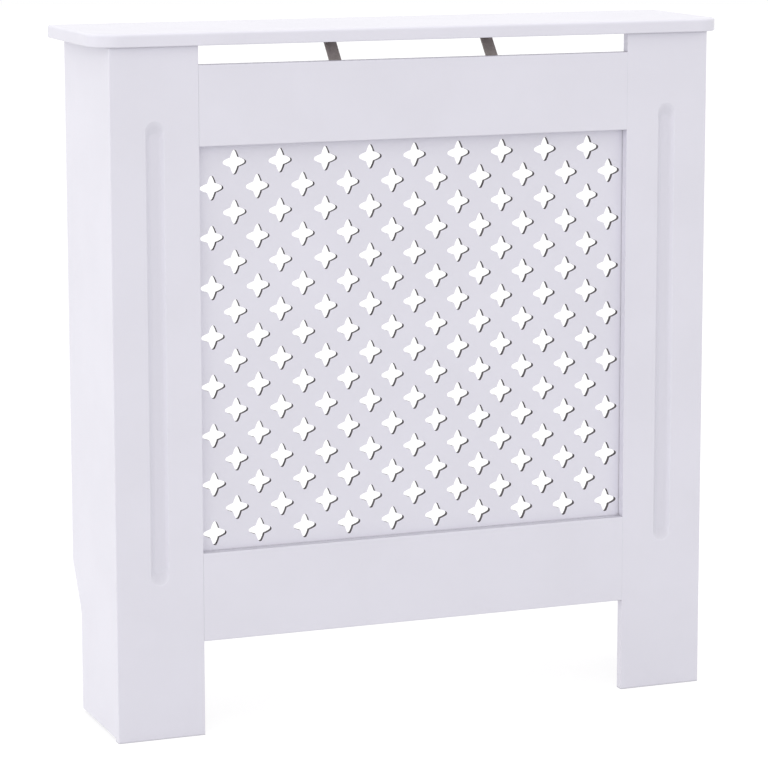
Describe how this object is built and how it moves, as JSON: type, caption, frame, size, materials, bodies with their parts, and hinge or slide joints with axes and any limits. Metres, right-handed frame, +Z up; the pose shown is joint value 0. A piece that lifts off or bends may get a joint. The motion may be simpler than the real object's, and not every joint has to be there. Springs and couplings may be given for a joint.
{
  "type": "radiator cover cabinet",
  "caption": "White painted radiator cover cabinet with fluted pilasters, a star-pierced grille panel, skirting cut-outs, an open back and a round-cornered shelf top over an air slot.",
  "frame": {"origin": "on the floor, at the middle of the overall width and depth", "axes": "+Z up, -Y out of the grille front, +Y into the wall, +X to the right as seen from the front"},
  "size_m": [0.78, 0.19, 0.815],
  "materials": {
    "board": "white satin paint on fibreboard",
    "grille_board": "white satin paint on thin fibreboard, bare brown cut edges",
    "batten": "planed bare softwood",
    "dowel": "bare beech",
    "steel_strip": "zinc plated, dull",
    "screw": "zinc plated, bright"
  },
  "bodies": {
    "root": {"top_board": "board", "left_pilaster": "board", "right_pilaster": "board", "left_side_panel": "board", "right_side_panel": "board", "top_rail": "board", "bottom_rail": "board", "grille_panel": "grille_board", "left_corner_batten": "batten", "right_corner_batten": "batten", "left_top_strap": "steel_strip", "right_top_strap": "steel_strip", "left_front_angle_bracket": "steel_strip", "left_rear_angle_bracket": "steel_strip", "right_front_angle_bracket": "steel_strip", "right_rear_angle_bracket": "steel_strip", "left_wall_bracket": "steel_strip", "right_wall_bracket": "steel_strip", "top_rail_dowels": "dowel", "bottom_rail_dowels": "dowel", "top_board_dowels": "dowel", "grille_screws": "screw", "strap_screws": "screw", "left_batten_screws": "screw", "right_batten_screws": "screw", "angle_bracket_screws": "screw", "wall_bracket_screws": "screw"}
  },
  "joints": []
}
